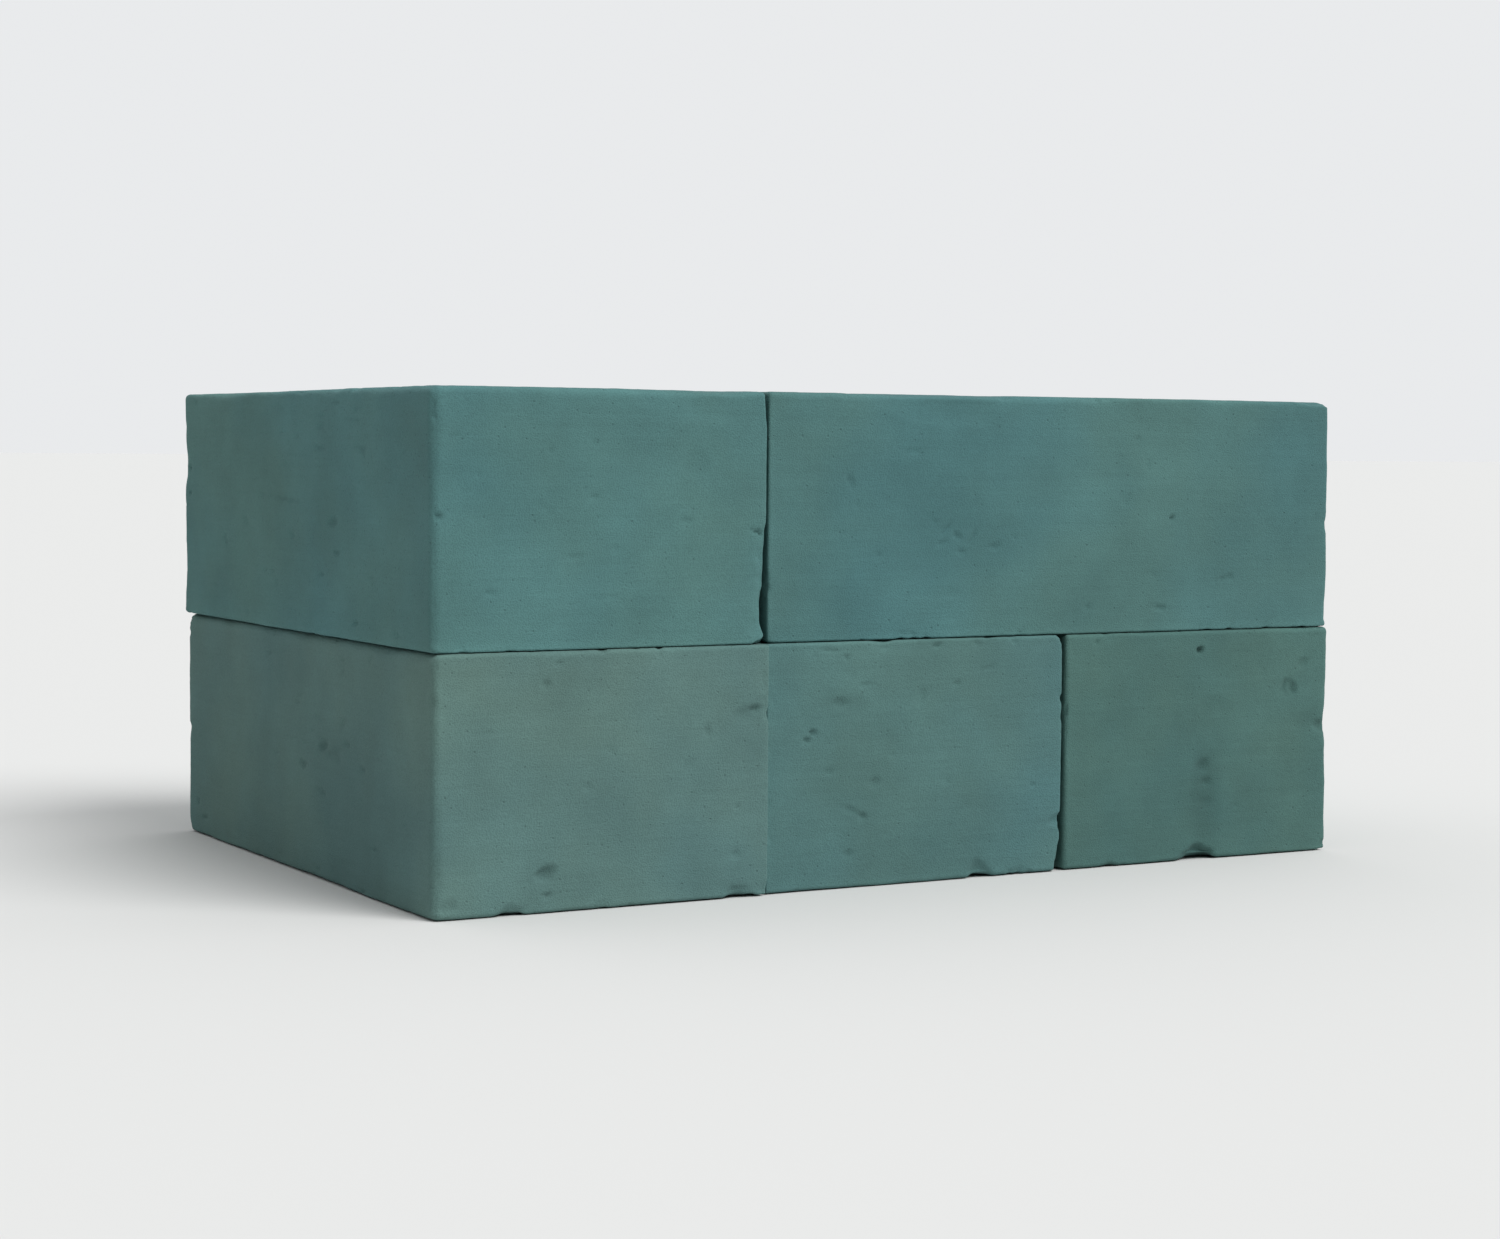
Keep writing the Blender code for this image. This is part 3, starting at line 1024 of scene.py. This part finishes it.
for node, piece in bricks.items():
    piece.data.materials.append(foam(piece.name, SHADES_WITH_PAINTED_LIGHT[node], CUT_FROM[node]))
    print(piece.name, "is foam in the shade", SHADES_WITH_PAINTED_LIGHT[node])

# %% [markdown]
# ## Floor
#
# The stack stands on a plain pale floor. One square is enough, if it is so large that its far edge
# merges with the sky. It is perfectly dull, because any shine would show as a glare in the
# distance.

# %% Floor
FLOOR_REACH = 40.0
FLOOR_COLOUR = (0.66, 0.66, 0.65, 1)
FLOOR_DROP = 0.2 * MM  # a hair under the foam, so the two never share a plane
CORNERS = ((-1, -1), (1, -1), (1, 1), (-1, 1))

floor_mesh = bpy.data.meshes.new("floor")
corners = [(x * FLOOR_REACH, y * FLOOR_REACH, -FLOOR_DROP) for x, y in CORNERS]
floor_mesh.from_pydata(corners, [], [(0, 1, 2, 3)])
floor = bpy.data.objects.new("floor", floor_mesh)
bpy.context.scene.collection.objects.link(floor)
pale = bpy.data.materials.new("pale_floor")
pale.use_nodes = True
dull = pale.node_tree.nodes["Principled BSDF"]
dull.inputs["Base Color"].default_value = FLOOR_COLOUR
dull.inputs["Roughness"].default_value = 1.0
dull.inputs["Specular IOR Level"].default_value = 0.0
floor_mesh.materials.append(pale)
print("the floor is", 2 * FLOOR_REACH, "m wide")

# %% [markdown]
# ## Sun
#
# The light is like daylight through thin cloud. A near lamp would light one brick more than the
# next and leave a bright pool on the floor, while a sun is the same everywhere. It shines from the
# front, on the right and above, and looks 36 degrees wide, which blurs every shadow. So the
# fronts of the bricks are bright and their left sides fall into half shade.

# %% Hazy sun
stack_middle = (cad_low + cad_high) / 2
SUN_AZIMUTH, SUN_ELEVATION = math.radians(25), math.radians(48)
SUN_WIDTH, SUN_STRENGTH = math.radians(36), 2.54


def aim(thing, spot, target):
    """Puts a camera or a lamp at a spot, looking at a target."""
    thing.location = spot
    thing.rotation_euler = (Vector(target) - Vector(spot)).to_track_quat("-Z", "Y").to_euler()


towards_sun = Vector((math.sin(SUN_AZIMUTH), -math.cos(SUN_AZIMUTH), math.tan(SUN_ELEVATION)))
sun = bpy.data.objects.new("hazy_sun", bpy.data.lights.new("hazy_sun", "SUN"))
sun.data.angle = SUN_WIDTH
sun.data.energy = SUN_STRENGTH
bpy.context.scene.collection.objects.link(sun)
aim(sun, stack_middle + towards_sun, stack_middle)
print("the sun stands", round(math.degrees(SUN_ELEVATION)), "degrees high")

# %% [markdown]
# ## Sky
#
# A pale sky fills in the rest. An even one would flatten every dent, so this one is brightest
# behind the stack, on the right and above, like a studio's backdrop. The dot product of a
# direction with BRIGHT_SIDE says how nearly the two agree, and that sets the strength. The
# Standard view shows the colours as they are worked out, without the look of a film.

# %% Pale sky
SKY_COLOUR = (0.97, 0.985, 1.0, 1)
SKY_DIM, SKY_BRIGHT = 0.12, 0.84
DIM_BELOW, BRIGHT_ABOVE = -0.5, 0.72  # how nearly a direction agrees with BRIGHT_SIDE
BRIGHT_SIDE = (0.35, 0.62, 0.7)

world = bpy.data.worlds.new("pale_sky")
bpy.context.scene.world = world
world.use_nodes = True
sky_tree = world.node_tree
sky = sky_tree.nodes["Background"]
sky.inputs["Color"].default_value = SKY_COLOUR
direction = add(sky_tree, "TexCoord").outputs["Generated"]
agree = sky_tree.nodes.new("ShaderNodeVectorMath")
agree.operation = "DOT_PRODUCT"
agree.inputs[1].default_value = BRIGHT_SIDE
sky_tree.links.new(direction, agree.inputs[0])
strength = ranged(sky_tree, agree.outputs["Value"], DIM_BELOW, BRIGHT_ABOVE, SKY_DIM, SKY_BRIGHT)
strength.node.interpolation_type = "SMOOTHSTEP"
sky_tree.links.new(strength, sky.inputs["Strength"])
bpy.context.scene.view_settings.view_transform = "Standard"
print("the sky's strength runs from", SKY_DIM, "to", SKY_BRIGHT)

# %% [markdown]
# ## Camera
#
# The camera stands a metre away at the left of the front, so the front and the left side both
# show. It is a little lower than the top of the stack, which therefore shows only as an edge. It
# leans by nearly half a degree, as a hand-held one does.

# %% Camera
CAMERA_SPOT = (-0.502, -0.894, 0.142)
CAMERA_LEAN = math.radians(0.45)
LENS, SENSOR_WIDTH = 68, 36  # mm

camera = bpy.data.objects.new("camera", bpy.data.cameras.new("camera"))
bpy.context.scene.collection.objects.link(camera)
aim(camera, Vector(CAMERA_SPOT), stack_middle)
camera.rotation_euler.rotate_axis("Z", CAMERA_LEAN)
camera.data.sensor_width = SENSOR_WIDTH
camera.data.lens = LENS
bpy.context.scene.camera = camera
print("the camera is", round((Vector(CAMERA_SPOT) - Vector(stack_middle)).length, 2), "m away")
